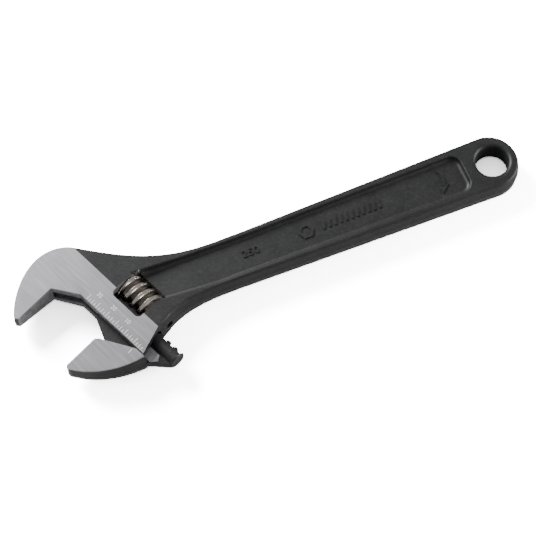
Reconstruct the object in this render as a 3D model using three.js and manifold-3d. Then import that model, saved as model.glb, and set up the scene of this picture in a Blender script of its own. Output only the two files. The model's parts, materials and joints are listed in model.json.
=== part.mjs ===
// Adjustable wrench, 10 inch class, drawn with its jaws open.
// Millimetres, +Z up. The handle runs along +X to the hang hole and the tool lies flat.
// The head is turned 22.5 degrees to the handle. In the head's own frame "reach" (x) points from
// the worm to the jaw tips and "slide" (y) points the way the movable jaw opens.
import * as THREE from "three";
import { ParametricGeometry } from "three/addons/geometries/ParametricGeometry.js";
import { mergeVertices } from "three/addons/utils/BufferGeometryUtils.js";
import Module from "manifold-3d";

const wasm = await Module();
wasm.setup();

// Handle
const HOLE_DISTANCE = 181.5; // worm centre to hang hole
const TAIL_RADIUS = 14.6;
const TAIL_WALL = 5.15; // metal between the hang hole and the end of the tail
const HOLE_RADIUS = 7.85;
const HOLE_ROUNDING = 2.1;
const NECK_END = 50; // where the neck meets the straight handle
const NECK_TOP = 12.5; // handle axis to the far side where the neck ends
const NECK_BOTTOM = 11.7; // and to the near side
const HANDLE_HALF = 5.9; // half the thickness of the handle
const PANEL_FLOOR = 3.7; // height of the sunk panel above the mid-plane
const PANEL_FILLET = 2.3;
const RIM_WIDTH = 3.1; // top of the rail beside the panel
const PANEL_GAP = 14; // hang hole centre to the end of the panel
const DRAFT = 0.9; // side walls lean in this much from the parting line to the top

// Head
const HEAD_ANGLE = 22.5;
const HEAD_HALF = 8.5; // half the thickness, along the ridge beside the worm
const TIP_HALF = 4.3; // half the thickness at the jaw tips
const RIDGE = 6.6;
const THROAT = 20.6;
const JAW_REACH = 49.6;
const FIXED_FACE = 31.9; // worm centre to the fixed jaw face, along the slide
const OPENING = 33.5; // jaw opening as drawn
const CORNER = 7.5; // depth of the sloped corner beside each jaw face
const FIXED_BACK = 9.2; // metal behind the fixed jaw face at its root
const END_SLIDE = 19.2; // worm centre to the end wall that holds the pin
const END_SLOPE = 4.5; // the end wall leans out this much up to the throat

// Worm, pin and spring
const CLEARANCE = 0.35;
const END_PLAY = 0.3;
const WORM_RADIUS = 7.4;
const THREAD_DEPTH = 2.1;
const PITCH = 4.7;
const CREST = 1.5;
const FLANK = Math.tan(THREE.MathUtils.degToRad(20));
const WINDOW_LENGTH = 18.7;
const PIN_RADIUS = 1.65;
const PIN_RECESS = 1.5;
const PIN_BURY = 7; // how far the pin enters the far wall
const WIRE_RADIUS = 0.35;
const SPRING_RADIUS = 2.45;
const SPRING_POCKET = 4.5;
const SPRING_TURNS = 3;

// Shank and web of the movable jaw
const SHANK_RADIUS = 4.45;
const ENGAGEMENT = 1.55; // how deep the thread reaches into the rack
const SHANK_FRONT = 6.5;
const SHANK_BACK = 35.3;
const HEEL = 27.4; // worm centre to where the jaw's back runs out into the web
const WEB_HALF = 2.5;
const TRAVEL = OPENING - END_PLAY;

// Sizes that follow from the ones above
const FULL = 90; // longer than any cut needs
const movableFace = OPENING - FIXED_FACE;
const shankReach = WORM_RADIUS - ENGAGEMENT + SHANK_RADIUS;
const shankBottom = shankReach + SHANK_RADIUS;
const boreRadius = SHANK_RADIUS + CLEARANCE;
const slotHalf = WEB_HALF + CLEARANCE;
const windowHalf = WINDOW_LENGTH / 2;
const wormHalf = windowHalf - END_PLAY;
const rootRadius = WORM_RADIUS - THREAD_DEPTH;
const windowInner = WORM_RADIUS + CLEARANCE;
const windowOuter = shankReach;
const webTip = FIXED_FACE + 10.3; // slide of the web's foremost corner when the jaw is shut
const pinEnd = END_SLIDE - PIN_RECESS;

const steel = (color, roughness, metalness) =>
  new THREE.MeshStandardMaterial({ color, roughness, metalness });
const blackForging = steel(0x2c2d2e, 0.55, 0.6);
const groundJaw = steel(0x8d8e8f, 0.4, 0.9);
const brightSteel = steel(0xa9a49c, 0.25, 1);
const darkPin = steel(0x3a3a3a, 0.45, 0.8);
const springWire = steel(0x77777a, 0.3, 1);

// --- helpers -------------------------------------------------------------------------------

// A closed geometry as a solid that can be joined and cut.
function solid(geometry) {
  const bare = geometry.clone();
  bare.deleteAttribute("normal");
  bare.deleteAttribute("uv");
  const merged = mergeVertices(bare, 1e-4);
  const triangles = [];
  for (let i = 0; i < merged.index.count; i += 3) {
    const [a, b, c] = [0, 1, 2].map((k) => merged.index.getX(i + k));
    if (a !== b && b !== c && c !== a) triangles.push(a, b, c);
  }
  return new wasm.Manifold(
    new wasm.Mesh({
      numProp: 3,
      vertProperties: merged.attributes.position.array,
      triVerts: new Uint32Array(triangles),
    }),
  );
}

function geometryOf(body) {
  const mesh = body.getMesh();
  const geometry = new THREE.BufferGeometry();
  geometry.setAttribute("position", new THREE.BufferAttribute(mesh.vertProperties, 3));
  geometry.setIndex(new THREE.BufferAttribute(mesh.triVerts, 1));
  const faceted = geometry.toNonIndexed();
  faceted.computeVertexNormals();
  return faceted;
}

// A straight prism between two heights.
function prism(points, low, high) {
  const shape = new THREE.Shape(points);
  const geometry = new THREE.ExtrudeGeometry(shape, { depth: high - low, bevelEnabled: false });
  return geometry.translate(0, 0, low);
}

// A prism through the mid-plane whose walls lean in by "lean" towards both faces.
function draftedPrism(points, half, lean) {
  const land = 0.2;
  const geometry = new THREE.ExtrudeGeometry(new THREE.Shape(points), {
    depth: 2 * land,
    bevelThickness: half - land,
    bevelSize: lean,
    bevelOffset: -lean,
    bevelSegments: 1,
  });
  return geometry.translate(0, 0, -land);
}

// A rod along the slide with a chamfered rim at each end.
function rod(radius, from, to, chamfer, segments) {
  const profile = [
    [0, from],
    [radius - chamfer, from],
    [radius, from + chamfer],
    [radius, to - chamfer],
    [radius - chamfer, to],
    [0, to],
  ];
  return new THREE.LatheGeometry(profile.map(([r, y]) => new THREE.Vector2(r, y)), segments);
}

const headTurn = THREE.MathUtils.degToRad(HEAD_ANGLE - 180);
const inHead = (geometry) => geometry.rotateZ(headTurn);
const point = (reach, slide) => new THREE.Vector2(reach, slide);
const headPoint = (reach, slide) => point(reach, slide).rotateAround(new THREE.Vector2(), headTurn);

function bezier(points, count) {
  return new THREE.CubicBezierCurve(...points).getPoints(count);
}

// --- outlines ------------------------------------------------------------------------------

// The outside of the forging, with the throat still filled in.
function bodyOutline() {
  const tailCentre = HOLE_DISTANCE + HOLE_RADIUS + TAIL_WALL - TAIL_RADIUS;
  const tail = new THREE.EllipseCurve(
    tailCentre, 0, TAIL_RADIUS, TAIL_RADIUS, -0.495 * Math.PI, 0.495 * Math.PI,
  ).getPoints(20);
  const root = headPoint(RIDGE + 0.6, -FIXED_FACE - FIXED_BACK);
  const tip = headPoint(JAW_REACH + 0.9, -FIXED_FACE - 1.7);
  const upperNeck = bezier(
    [
      point(NECK_END, NECK_TOP),
      point(14, NECK_TOP - 1.3),
      point(root.x + 23.5, root.y - 15),
      root,
    ],
    14,
  );
  const back = bezier(
    [
      root,
      headPoint(RIDGE + 15.8, -FIXED_FACE - FIXED_BACK - 16.9),
      headPoint(JAW_REACH - 3.8, -FIXED_FACE - 9.4),
      tip,
    ],
    18,
  );
  const foot = headPoint(-0.7, END_SLIDE);
  const lowerNeck = bezier(
    [foot, point(18, -NECK_BOTTOM), point(30, -NECK_BOTTOM + 0.6), point(NECK_END, -NECK_BOTTOM)],
    10,
  );
  return [
    ...tail,
    ...upperNeck.slice(0, -1),
    ...back,
    headPoint(JAW_REACH - 5, -FIXED_FACE + 5),
    headPoint(THROAT + 3, END_SLIDE + END_SLOPE + 1.2),
    headPoint(RIDGE, END_SLIDE + 0.2),
    ...lowerNeck,
  ];
}

// Side view of the head: thickest at the ridge, thinner to the tips and to the handle.
function thicknessWedge() {
  const tip = JAW_REACH + 3;
  const slope = (HEAD_HALF - TIP_HALF) / (JAW_REACH - RIDGE);
  const tipHalf = HEAD_HALF - slope * (tip - RIDGE);
  const neck = -28;
  const upper = [
    point(tip, tipHalf),
    point(RIDGE, HEAD_HALF),
    point(neck, HANDLE_HALF),
    point(-3 * FULL, HANDLE_HALF),
  ];
  const lower = upper.map(({ x, y }) => point(x, -y)).reverse();
  return prism([...upper, ...lower], -2 * FULL, 2 * FULL).rotateX(Math.PI / 2);
}

// The space between the jaws, open towards the tips, with a sloped corner beside the face.
function throatOutline() {
  return [
    point(THROAT, FULL),
    point(THROAT, CORNER * 1.67 - FIXED_FACE),
    point(THROAT + CORNER, -FIXED_FACE),
    point(FULL, -FIXED_FACE),
    point(FULL, FULL),
  ];
}

// The slot that the web slides in, from the shank's bore out to the throat.
function slotOutline() {
  const boreEnd = -SHANK_FRONT - TRAVEL - 0.8;
  return [
    point(shankReach, FULL),
    point(shankReach, boreEnd),
    point(shankBottom - 0.2, boreEnd),
    point(THROAT, -webTip - 0.6),
    point(THROAT + 1, -webTip - 0.6),
    point(THROAT + 7.8, -webTip + 11.5),
    point(FULL, -webTip + 11.5),
    point(FULL, FULL),
  ];
}

function panelOutline() {
  const start = NECK_END;
  const end = HOLE_DISTANCE - PANEL_GAP - PANEL_FILLET;
  const neckTop = NECK_TOP - RIM_WIDTH - PANEL_FILLET + 0.9;
  const neckBottom = NECK_BOTTOM - RIM_WIDTH - PANEL_FILLET + 1.4;
  const tailHalf = TAIL_RADIUS - RIM_WIDTH - PANEL_FILLET - 0.9;
  const corner = 3;
  const windowEdge = -windowInner;
  const far = headPoint(windowEdge + 1.5, -windowHalf + 2.6);
  const near = headPoint(windowEdge + 1.5, windowHalf);
  const nearRound = new THREE.EllipseCurve(
    end - corner, -tailHalf + corner, corner, corner, -Math.PI / 2, 0,
  ).getPoints(5);
  const farRound = new THREE.EllipseCurve(
    end - corner, tailHalf - corner, corner, corner, 0, Math.PI / 2,
  ).getPoints(5);
  return [
    far,
    near,
    point(start - 16, -neckBottom - 0.3),
    point(start, -neckBottom),
    ...nearRound,
    ...farRound,
    point(start, neckTop),
    point(start - 14, neckTop + 0.3),
  ];
}

// --- the pieces ----------------------------------------------------------------------------

function hangHole() {
  const rim = HOLE_RADIUS + HOLE_ROUNDING;
  const rounding = new THREE.EllipseCurve(
    rim, HANDLE_HALF - HOLE_ROUNDING, HOLE_ROUNDING, HOLE_ROUNDING, Math.PI, Math.PI / 2, true,
  ).getPoints(4);
  const upper = [...rounding, point(rim, FULL), point(0, FULL)];
  const lower = upper.map(({ x, y }) => point(x, -y)).reverse();
  const cutter = new THREE.LatheGeometry([...lower, ...upper], 36);
  return cutter.rotateX(Math.PI / 2).translate(HOLE_DISTANCE, 0, 0);
}

function panelCutter(side) {
  const height = 12;
  const geometry = new THREE.ExtrudeGeometry(new THREE.Shape(panelOutline()), {
    depth: height,
    bevelThickness: PANEL_FILLET,
    bevelSize: PANEL_FILLET,
    bevelSegments: 3,
  });
  const floor = PANEL_FLOOR + PANEL_FILLET;
  return geometry.translate(0, 0, side > 0 ? floor : -floor - height);
}

function windowCutter() {
  const corner = 1.2;
  const outline = [
    point(-windowInner, -windowHalf),
    point(windowOuter - corner, -windowHalf),
    point(windowOuter, -windowHalf + corner),
    point(windowOuter, windowHalf - corner),
    point(windowOuter - corner, windowHalf),
    point(-windowInner, windowHalf),
  ];
  return inHead(prism(outline, -FULL, FULL));
}

function wrenchBody() {
  const boreEnd = -SHANK_FRONT - TRAVEL - 0.8;
  const bore = rod(boreRadius, boreEnd, FULL, 0.5, 36).translate(shankReach, 0, 0);
  const pinHole = rod(PIN_RADIUS + CLEARANCE, -windowHalf - PIN_BURY - CLEARANCE, FULL, 0.3, 20);
  return solid(draftedPrism(bodyOutline(), 9, DRAFT))
    .intersect(solid(inHead(thicknessWedge())))
    .subtract(solid(inHead(prism(throatOutline(), -FULL, FULL))))
    .subtract(solid(inHead(prism(slotOutline(), -slotHalf, slotHalf))))
    .subtract(solid(inHead(bore)))
    .subtract(solid(inHead(pinHole)))
    .subtract(solid(windowCutter()))
    .subtract(solid(panelCutter(1)))
    .subtract(solid(panelCutter(-1)))
    .subtract(solid(hangHole()));
}

// The ground jaw itself: a drafted back, then straight cuts for the face, tip and shoulder.
function jawBlock() {
  const face = movableFace;
  const back = bezier(
    [
      point(JAW_REACH + 0.9, face + 4.4),
      point(JAW_REACH - 6.2, face + 15.6),
      point(THROAT + 9, face + 22.8),
      point(THROAT - 1.5, HEEL),
    ],
    14,
  );
  const blank = [
    point(THROAT - 1.5, face - 3),
    point(JAW_REACH + 3, face - 3),
    point(JAW_REACH + 3, face + 1.2),
    ...back,
  ];
  const shoulder = THROAT + CLEARANCE;
  const straight = [
    point(shoulder, FULL),
    point(shoulder, face + CORNER * 2.4),
    point(shoulder + CORNER * 1.15, face + 1.4),
    point(shoulder + CORNER * 1.15 + 1.3, face),
    point(JAW_REACH - 0.9, face),
    point(JAW_REACH, face + 0.9),
    point(JAW_REACH, FULL),
  ];
  return solid(inHead(draftedPrism(blank, 9, 1.8)))
    .intersect(solid(inHead(prism(straight, -FULL, FULL))))
    .intersect(solid(inHead(thicknessWedge())));
}

// The plate that joins the jaw to its round shank through the body's slot.
function webOutline() {
  const tip = -webTip + TRAVEL;
  const jawSide = THROAT + 4;
  return [
    point(shankReach, -SHANK_FRONT),
    point(shankReach, SHANK_BACK - 0.3),
    point(shankBottom - 0.6, SHANK_BACK - 0.3),
    point(THROAT, HEEL + 0.2),
    point(jawSide, HEEL - 3.6),
    point(jawSide + 3, movableFace + 3),
    point(THROAT + 0.9, tip),
    point(THROAT, tip),
    point(shankBottom - 0.6, -SHANK_FRONT),
  ];
}

// One slanted groove of the rack, at "slide" along the shank.
function rackGroove(slide) {
  const bottom = WORM_RADIUS + CLEARANCE;
  const top = shankReach - SHANK_RADIUS - 1.5;
  const narrow = CREST / 2 + 0.27;
  const wide = narrow + (bottom - top) * FLANK;
  const outline = [
    point(bottom, narrow),
    point(top, wide),
    point(top, -wide),
    point(bottom, -narrow),
  ];
  const lead = PITCH / (2 * Math.PI * (WORM_RADIUS - THREAD_DEPTH / 2));
  const slant = new THREE.Matrix4().makeShear(0, 0, 0, 0, 0, lead);
  return prism(outline, -6, 6).applyMatrix4(slant).translate(0, slide, 0);
}

function movableJaw() {
  const shank = rod(SHANK_RADIUS, -SHANK_FRONT, SHANK_BACK, 0.6, 32).translate(shankReach, 0, 0);
  let jaw = jawBlock()
    .add(solid(inHead(prism(webOutline(), -WEB_HALF, WEB_HALF))))
    .add(solid(inHead(shank)));
  const first = -Math.floor((SHANK_FRONT + CREST) / PITCH);
  const last = Math.floor((SHANK_BACK + CREST) / PITCH);
  for (let tooth = first; tooth <= last; tooth += 1) {
    jaw = jaw.subtract(solid(inHead(rackGroove(tooth * PITCH))));
  }
  return jaw;
}

// The thread: a trapezium carried along a helix, closed to a point inside the core at each end.
function thread() {
  const turns = Math.ceil((2 * wormHalf) / PITCH) + 1;
  const steps = turns * 36;
  const base = CREST / 2 + (THREAD_DEPTH + 0.3) * FLANK;
  const section = [
    [rootRadius - 0.3, -base],
    [WORM_RADIUS, -CREST / 2],
    [WORM_RADIUS, CREST / 2],
    [rootRadius - 0.3, base],
  ];
  const surface = (v, u, target) => {
    const step = Math.round(u * steps);
    const angle = (step / 36 - turns / 2) * 2 * Math.PI;
    const ended = step === 0 || step === steps;
    const [radius, offset] = ended ? [rootRadius - 1, 0] : section[Math.round(v * 4) % 4];
    const slide = (angle / (2 * Math.PI)) * PITCH + offset;
    target.set(radius * Math.cos(angle), slide, radius * Math.sin(angle));
  };
  return new ParametricGeometry(surface, 4, steps);
}

function worm() {
  const blank = rod(WORM_RADIUS, -wormHalf, wormHalf, 0.5, 36);
  const core = rod(rootRadius, -wormHalf, wormHalf, 0.3, 36);
  const bore = rod(PIN_RADIUS + CLEARANCE, -FULL, FULL, 0.1, 20);
  const pocketRadius = SPRING_RADIUS + WIRE_RADIUS + CLEARANCE;
  const pocket = rod(pocketRadius, -FULL, SPRING_POCKET - wormHalf, 0.1, 24);
  const screw = solid(thread()).intersect(solid(blank)).add(solid(core));
  return screw.subtract(solid(bore)).subtract(solid(pocket));
}

function wormPin() {
  const start = -windowHalf - PIN_BURY;
  const slot = new THREE.BoxGeometry(4 * PIN_RADIUS, 0.9, 0.6).translate(0, pinEnd - 0.2, 0);
  return solid(rod(PIN_RADIUS, start, pinEnd, 0.25, 20)).subtract(solid(slot));
}

class SpringPath extends THREE.Curve {
  getPoint(t, target = new THREE.Vector3()) {
    const angle = t * SPRING_TURNS * 2 * Math.PI;
    const start = -windowHalf + END_PLAY + WIRE_RADIUS;
    const end = SPRING_POCKET - wormHalf - END_PLAY - WIRE_RADIUS;
    const slide = THREE.MathUtils.lerp(start, end, t);
    return target.set(SPRING_RADIUS * Math.cos(angle), slide, SPRING_RADIUS * Math.sin(angle));
  }
}

function wormSpring() {
  const wire = new THREE.Shape().absarc(0, 0, WIRE_RADIUS, 0, 2 * Math.PI);
  return new THREE.ExtrudeGeometry(wire, {
    steps: SPRING_TURNS * 16,
    curveSegments: 4,
    extrudePath: new SpringPath(),
  });
}

// --- assembly ------------------------------------------------------------------------------

function piece(name, geometry, material) {
  const mesh = new THREE.Mesh(geometry, material);
  mesh.name = name;
  return mesh;
}

const head = new THREE.Group();
head.rotation.z = headTurn;
head.add(
  piece("worm", geometryOf(worm()), brightSteel),
  piece("worm_pin", geometryOf(wormPin()), darkPin),
  piece("worm_spring", wormSpring(), springWire),
);

const tool = new THREE.Group();
tool.add(
  piece("wrench_body", geometryOf(wrenchBody()), blackForging),
  piece("movable_jaw", geometryOf(movableJaw()), groundJaw),
  head,
);

// The origin is the middle of the tool's footprint, on the surface it lies on.
const wrench = new THREE.Group();
wrench.add(tool);
const bounds = new THREE.Box3().setFromObject(wrench);
const middle = bounds.getCenter(new THREE.Vector3());
tool.position.set(-middle.x, -middle.y, -bounds.min.z);

export default wrench;
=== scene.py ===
# %% [markdown]
# # An adjustable wrench, built from the outside in
#
# The tool is a drop-forged handle that ends in a fixed jaw, a second jaw that slides in a slot of
# the first, and a worm that drives the sliding jaw along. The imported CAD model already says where
# everything sits and how it moves. This script puts fine surfaces and real finishes around it.
# Every size below is in millimetres, measured from the middle of the worm, because that is the
# point that the whole head is laid out from. One function at the end turns them into metres.

# %% Load the fixed frame
import json

import bmesh
import bpy
import numpy as np
from mathutils import Matrix, Vector
from mathutils.geometry import delaunay_2d_cdt


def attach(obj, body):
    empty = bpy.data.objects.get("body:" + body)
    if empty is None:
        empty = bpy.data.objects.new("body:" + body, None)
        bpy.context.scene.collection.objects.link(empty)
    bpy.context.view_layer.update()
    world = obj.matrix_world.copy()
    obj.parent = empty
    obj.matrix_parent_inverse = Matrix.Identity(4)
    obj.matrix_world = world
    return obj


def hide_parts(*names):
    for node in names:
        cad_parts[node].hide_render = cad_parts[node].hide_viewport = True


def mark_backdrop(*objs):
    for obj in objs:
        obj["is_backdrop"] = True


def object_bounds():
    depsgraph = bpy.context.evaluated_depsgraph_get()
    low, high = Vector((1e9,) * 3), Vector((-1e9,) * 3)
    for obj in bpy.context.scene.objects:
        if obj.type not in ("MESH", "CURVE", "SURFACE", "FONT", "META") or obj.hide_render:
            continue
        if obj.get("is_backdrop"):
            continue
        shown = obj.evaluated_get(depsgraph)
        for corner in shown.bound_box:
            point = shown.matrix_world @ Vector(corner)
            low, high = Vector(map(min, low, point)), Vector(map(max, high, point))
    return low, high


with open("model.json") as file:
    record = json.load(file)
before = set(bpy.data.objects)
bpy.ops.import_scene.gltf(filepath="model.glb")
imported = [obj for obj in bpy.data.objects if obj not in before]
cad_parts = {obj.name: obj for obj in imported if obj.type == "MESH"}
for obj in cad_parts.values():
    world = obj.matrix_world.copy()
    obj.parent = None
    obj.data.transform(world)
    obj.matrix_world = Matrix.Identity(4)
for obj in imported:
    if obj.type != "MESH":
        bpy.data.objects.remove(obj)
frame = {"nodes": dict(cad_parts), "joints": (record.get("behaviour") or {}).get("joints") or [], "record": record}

cad_box = [list(corner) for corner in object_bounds()]
joints = {joint["name"]: joint for joint in frame["joints"]}
mounts = {mount["name"]: mount for mount in frame["record"]["mounts"]}
MM = 0.001
WORM = np.array(joints["worm_spin"]["pos_m"])
SLIDE = np.array(joints["jaw_slide"]["axis"])[:2]
REACH = np.array([SLIDE[1], -SLIDE[0]])
HOLE_DISTANCE = (mounts["hang_hole"]["pos_m"][0] - WORM[0]) / MM
print("nodes", sorted(frame["nodes"]), "hole", round(HOLE_DISTANCE, 2), "mm from the worm")

# %% [markdown]
# ## Two sets of directions
#
# The head is turned against the handle. Along the head it is easier to think in "reach", from the
# worm out to the jaw tips, and "slide", the way the movable jaw opens. Along the handle, plain x
# and y do. A turned point is a sum of two directions, so one line of numpy turns a whole array.

# %% Head directions to plan directions
def head(reach, slide):
    """Plan point of a head point: reach times the reach direction plus slide times the slide's."""
    reach, slide = np.broadcast_arrays(np.asarray(reach, float), np.asarray(slide, float))
    return reach[..., None] * REACH + slide[..., None] * SLIDE


def reach_of(plan):
    """How far out along the head a plan point lies: its dot product with the reach direction."""
    return plan @ REACH


def slide_of(plan):
    """How far along the slide a plan point lies: its dot product with the slide direction."""
    return plan @ SLIDE


def metres(points):
    """Plan and height in millimetres to the frame's metres: scaled, then moved to the worm."""
    return np.asarray(points) * MM + WORM


# %% [markdown]
# ## Paths
#
# An outline is a chain of straight lines, arcs and Bezier curves. Each is one formula sampled at
# even steps, so a finer model only needs a smaller step.

# %% Lines, arcs and curves as arrays of points
def line(start, end, step=4.0):
    """Points from start to end: start + (end - start) * t, for even t from 0 to 1."""
    start, end = np.asarray(start, float), np.asarray(end, float)
    count = max(1, int(np.ceil(np.linalg.norm(end - start) / step)))
    return start + np.linspace(0, 1, count + 1)[:, None] * (end - start)


def arc(centre, radius, start, end, count):
    """Points at centre + radius * (cos a, sin a), for even a from start to end, in degrees."""
    angle = np.radians(np.linspace(start, end, count + 1))
    return np.asarray(centre) + radius * np.stack([np.cos(angle), np.sin(angle)], 1)


def bezier(corners, count):
    """Cubic Bezier: each corner weighted by its Bernstein polynomial in t, and added up."""
    t = np.linspace(0, 1, count + 1)[:, None]
    a, b, c, d = (np.asarray(corner, float) for corner in corners)
    return a * (1 - t) ** 3 + 3 * b * t * (1 - t) ** 2 + 3 * c * t * t * (1 - t) + d * t ** 3


def rounded(corners, radii, count=6):
    """A closed polygon with each corner replaced by a curve that starts and ends one radius away."""
    corners = np.asarray(corners, float)
    pull = 0.55  # how far each end's handle reaches towards the corner, near enough to a circle
    pieces = []
    for before, here, after, radius in zip(np.roll(corners, 1, 0), corners, np.roll(corners, -1, 0), radii):
        first = here + radius * (before - here) / np.linalg.norm(before - here)
        last = here + radius * (after - here) / np.linalg.norm(after - here)
        handles = [first + (here - first) * pull, last + (here - last) * pull]
        pieces.append(bezier([first, *handles, last], count))
    return np.concatenate(pieces)


# %% [markdown]
# ## Walls: a profile carried along a path
#
# Seen from the side, the wall of a forging starts at the parting line where the two dies met,
# leans in towards the face, and turns over a rounded edge. That profile is the same all the way
# round. So a wall is a grid: one direction runs along the outline and the other up the profile.
# At a corner, two walls meet where both of their offset lines cross. This keeps corners crisp,
# where moving each point along its own normal would pinch them.

# %% Carry a profile along an outline
CORNER_SINE = 0.12  # bends sharper than about 7 degrees are mitred, and gentler ones moved straight out


def carry(path, inset, height):
    """Grid of points (i, j): outline point i moved into the material until it lies inset[i, j] behind
    the edge after it and inset[i - 1, j] behind the edge before it, at height[i, j]. Material is on
    the left of the path."""
    along = np.roll(path, -1, 0) - path
    along /= np.linalg.norm(along, axis=1, keepdims=True)
    after = np.stack([along[:, 1], -along[:, 0]], 1)
    before = np.roll(after, 1, 0)
    inset_after, inset_before = inset, np.roll(inset, 1, 0)
    cross = before[:, 0] * after[:, 1] - before[:, 1] * after[:, 0]
    corner = np.abs(cross) > CORNER_SINE
    safe = np.where(corner, cross, 1)[:, None]
    move_x = (inset_after * before[:, 1:] - inset_before * after[:, 1:]) / safe
    move_y = (inset_before * after[:, :1] - inset_after * before[:, :1]) / safe
    middle = before + after
    middle /= np.linalg.norm(middle, axis=1, keepdims=True)
    mean = -(inset_after + inset_before) / 2
    move_x = np.where(corner[:, None], move_x, mean * middle[:, :1])
    move_y = np.where(corner[:, None], move_y, mean * middle[:, 1:])
    return np.stack([path[:, :1] + move_x, path[:, 1:] + move_y, height], 2)


def edge_means(values):
    """One value for each point, from one for each edge: the mean of the edges on its two sides."""
    return (values + np.roll(values, 1, 0)) / 2


# %% [markdown]
# ## From grids to a closed mesh
#
# A grid of points becomes faces by joining each point to its neighbours. Flat tops are filled by
# a constrained triangulation, which keeps every outline edge, and so fits the wall's last ring
# point for point. The parts are joined by merging points that lie in the same place.

# %% Grids, caps and meshes
def grid_faces(rows, columns, closed=True):
    """Corner numbers of the quads of a grid: each (i, j) with its neighbours, wrapping in i if closed."""
    i, j = np.meshgrid(np.arange(rows if closed else rows - 1), np.arange(columns - 1), indexing="ij")
    k = (i + 1) % rows
    here, beside = i * columns + j, k * columns + j
    return np.stack([here, beside, beside + 1, here + 1], 2).reshape(-1, 4)


def inside(points, ring):
    """Even-odd rule: a point is inside where a ray to the right crosses the ring an odd number of times."""
    a, b = ring, np.roll(ring, -1, 0)
    x, y = points[:, :1], points[:, 1:]
    spans = (a[:, 1] > y) != (b[:, 1] > y)
    rise = np.where(b[:, 1] == a[:, 1], 1, b[:, 1] - a[:, 1])
    return (spans & (x < a[:, 0] + (y - a[:, 1]) * (b[:, 0] - a[:, 0]) / rise)).sum(1) % 2 == 1


def cap(outer, holes=(), creases=(), extra=None):
    """Triangles of the flat region inside one ring and outside the others, keeping every ring edge.
    Returns the plan points and the triangles, counter-clockwise."""
    points, edges = [], []
    for ring in (outer, *holes):
        first = sum(map(len, points))
        number = np.arange(len(ring))
        edges.append(first + np.stack([number, (number + 1) % len(ring)], 1))
        points.append(ring)
    for crease in creases:
        first = sum(map(len, points))
        points.append(np.asarray(crease))
        edges.append(np.array([[first, first + 1]]))
    if extra is not None:
        points.append(extra)
    flat = np.concatenate(points)
    result = delaunay_2d_cdt([Vector(p) for p in flat], np.concatenate(edges).tolist(), [], 0, 1e-7)
    plan = np.array([tuple(p) for p in result[0]])
    triangles = np.array([f for f in result[2] if len(f) == 3])
    middle = plan[triangles].mean(1)
    keep = inside(middle, outer)
    for hole in holes:
        keep &= ~inside(middle, hole)
    triangles = triangles[keep]
    a, b, c = (plan[triangles[:, k]] for k in range(3))
    area = (b[:, 0] - a[:, 0]) * (c[:, 1] - a[:, 1]) - (b[:, 1] - a[:, 1]) * (c[:, 0] - a[:, 0])
    triangles = triangles[np.abs(area) > 1e-9]
    area = area[np.abs(area) > 1e-9]
    return plan, np.where(area[:, None] > 0, triangles, triangles[:, ::-1])


def mirrored(points, faces):
    """The same surface below the mid-plane: heights change sign and faces turn the other way round."""
    return points * [1, 1, -1], faces[:, ::-1]


def vectors(items, kind):
    """A vector property of every vertex or face of a mesh, as an array of rows."""
    values = np.zeros(len(items) * 3)
    items.foreach_get(kind, values)
    return values.reshape(-1, 3)


def new_object(name, data):
    made = bpy.data.objects.new(name, data)
    bpy.context.scene.collection.objects.link(made)
    return made


def solid(name, surfaces, weld=1e-6):
    """One object in metres from (points, faces) pairs in millimetres, with points in one place merged."""
    points = np.concatenate([np.asarray(p, float).reshape(-1, 3) for p, _ in surfaces])
    starts = np.cumsum([0] + [np.asarray(p).reshape(-1, 3).shape[0] for p, _ in surfaces])
    faces = [[k + start for k in face] for start, (_, listed) in zip(starts, surfaces) for face in listed]
    mesh = bpy.data.meshes.new(name)
    mesh.from_pydata(metres(points), [], faces)
    work = bmesh.new()
    work.from_mesh(mesh)
    bmesh.ops.remove_doubles(work, verts=work.verts, dist=weld)
    bmesh.ops.dissolve_degenerate(work, edges=work.edges, dist=weld / 10)
    open_edges = sum(not edge.is_manifold for edge in work.edges)
    work.to_mesh(mesh)
    work.free()
    print(f"{name}: {len(mesh.polygons)} faces, {open_edges} open edges")
    return new_object(name, mesh)


def even(height):
    """A height function that is the same everywhere."""
    return lambda plan: np.full(len(plan), height)


def slab(outline, low, high, holes=()):
    """An upright wall round the outline and one round each clockwise hole, with a cap at each end. The
    ends are height functions of the plan."""
    surfaces = []
    for ring in (outline, *holes):
        ring = np.asarray(ring, float)
        wall = carry(ring, np.zeros_like(ring), np.stack([low(ring), high(ring)], 1))
        surfaces.append((wall, grid_faces(len(ring), 2)))
    plan, triangles = cap(outline, holes)
    for end, faces in ((low, triangles[:, ::-1]), (high, triangles)):
        surfaces.append((np.column_stack([plan, end(plan)]), faces))
    return surfaces


def prism(outline, low, high, holes=()):
    """A slab with level ends."""
    return slab(np.asarray(outline, float), even(low), even(high), holes)


def turned(profile, reach=0.0, sides=48):
    """A turned solid on an axis along the slide: each (radius, slide) of the profile swept round, with
    the first and last points on the axis or joined to each other. The profile runs counter-clockwise
    with slide to the right and radius up, seen so that its material is on the left."""
    radius, slide = np.asarray(profile, float).T
    angle = np.linspace(0, 2 * np.pi, sides, endpoint=False)[:, None]
    plan = head(reach + radius * np.cos(angle), slide * np.ones_like(angle))
    grid = np.concatenate([plan, (radius * np.sin(angle))[..., None]], 2)
    return grid, grid_faces(sides, len(radius))


def applied_mesh(target):
    """The mesh of an object or a curve with its modifiers applied."""
    bpy.context.view_layer.update()
    return bpy.data.meshes.new_from_object(target.evaluated_get(bpy.context.evaluated_depsgraph_get()))


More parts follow.
